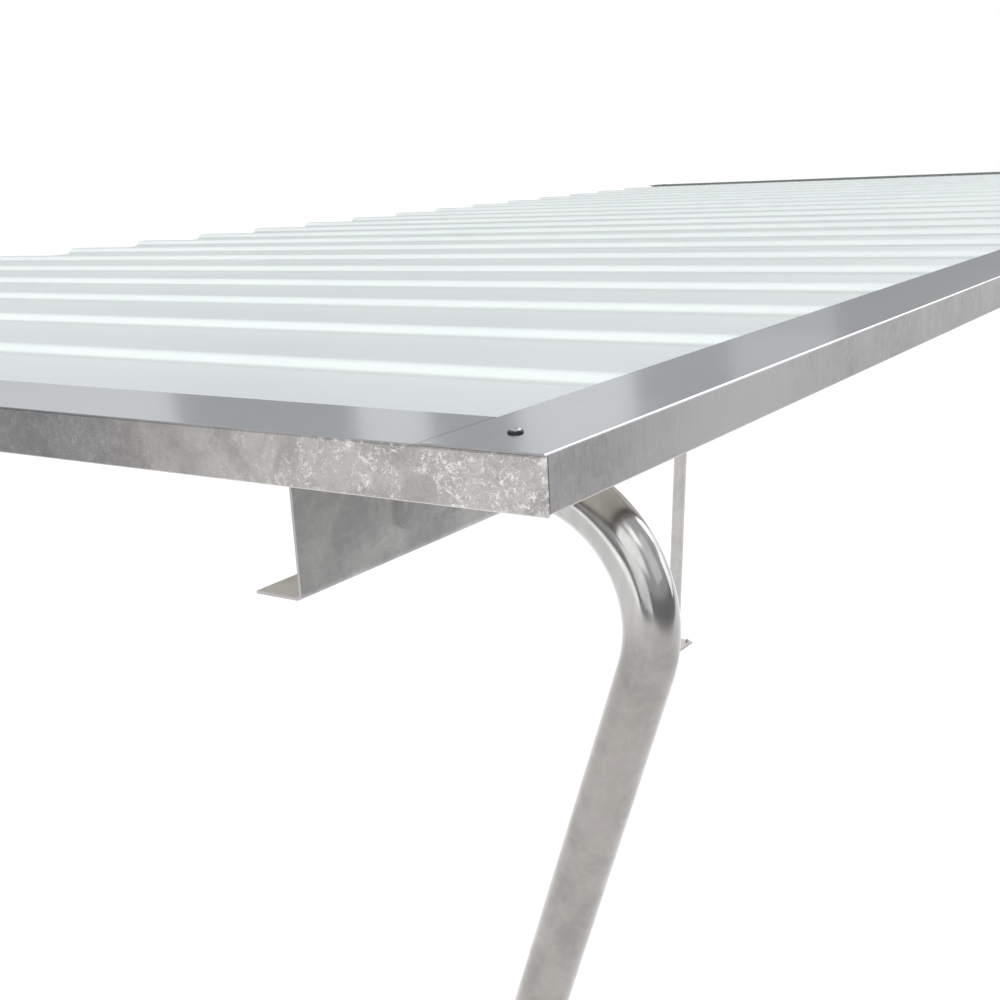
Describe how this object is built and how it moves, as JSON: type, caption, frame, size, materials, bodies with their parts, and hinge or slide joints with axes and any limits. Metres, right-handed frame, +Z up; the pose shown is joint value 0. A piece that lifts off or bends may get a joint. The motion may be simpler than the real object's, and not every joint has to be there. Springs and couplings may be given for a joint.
{
  "type": "bike shelter",
  "caption": "Open bike shelter: a gently sloping ribbed metal roof with folded edge trims on Z-purlins, carried by bent front tube posts and straight rear posts on base plates.",
  "frame": {"origin": "on the ground, under the middle of the roof", "axes": "+X along the shelter, +Y from the high front edge to the low eave, +Z up"},
  "size_m": [6.5, 3.2962, 2.9997],
  "materials": {
    "roof_sheet": "satin",
    "galvanised_trim": "satin",
    "galvanised_purlin": "satin",
    "front_tube": "satin",
    "rear_tube": "satin",
    "rafter": "satin",
    "plate": "satin"
  },
  "bodies": {
    "root": {"roof_sheet_1": "roof_sheet", "roof_sheet_2": "roof_sheet", "roof_sheet_3": "roof_sheet", "roof_sheet_4": "roof_sheet", "roof_sheet_5": "roof_sheet", "roof_sheet_6": "roof_sheet", "roof_sheet_7": "roof_sheet", "front_trim": "galvanised_trim", "left_trim": "galvanised_trim", "right_trim": "galvanised_trim", "front_purlin": "galvanised_purlin", "middle_purlin": "galvanised_purlin", "rear_purlin": "galvanised_purlin", "left_front_post": "front_tube", "right_front_post": "front_tube", "left_rear_post": "rear_tube", "right_rear_post": "rear_tube", "left_front_rafter": "rafter", "left_rear_rafter": "rafter", "right_front_rafter": "rafter", "right_rear_rafter": "rafter", "left_front_post_plate": "plate", "left_front_rafter_upper_plate": "plate", "left_front_rafter_lower_plate": "plate", "left_rear_rafter_upper_plate": "plate", "left_rear_rafter_lower_plate": "plate", "left_rear_post_cap": "plate", "right_front_post_plate": "plate", "right_front_rafter_upper_plate": "plate", "right_front_rafter_lower_plate": "plate", "right_rear_rafter_upper_plate": "plate", "right_rear_rafter_lower_plate": "plate", "right_rear_post_cap": "plate", "left_front_base_plate": "plate", "left_rear_base_plate": "plate", "right_front_base_plate": "plate", "right_rear_base_plate": "plate"}
  },
  "joints": []
}
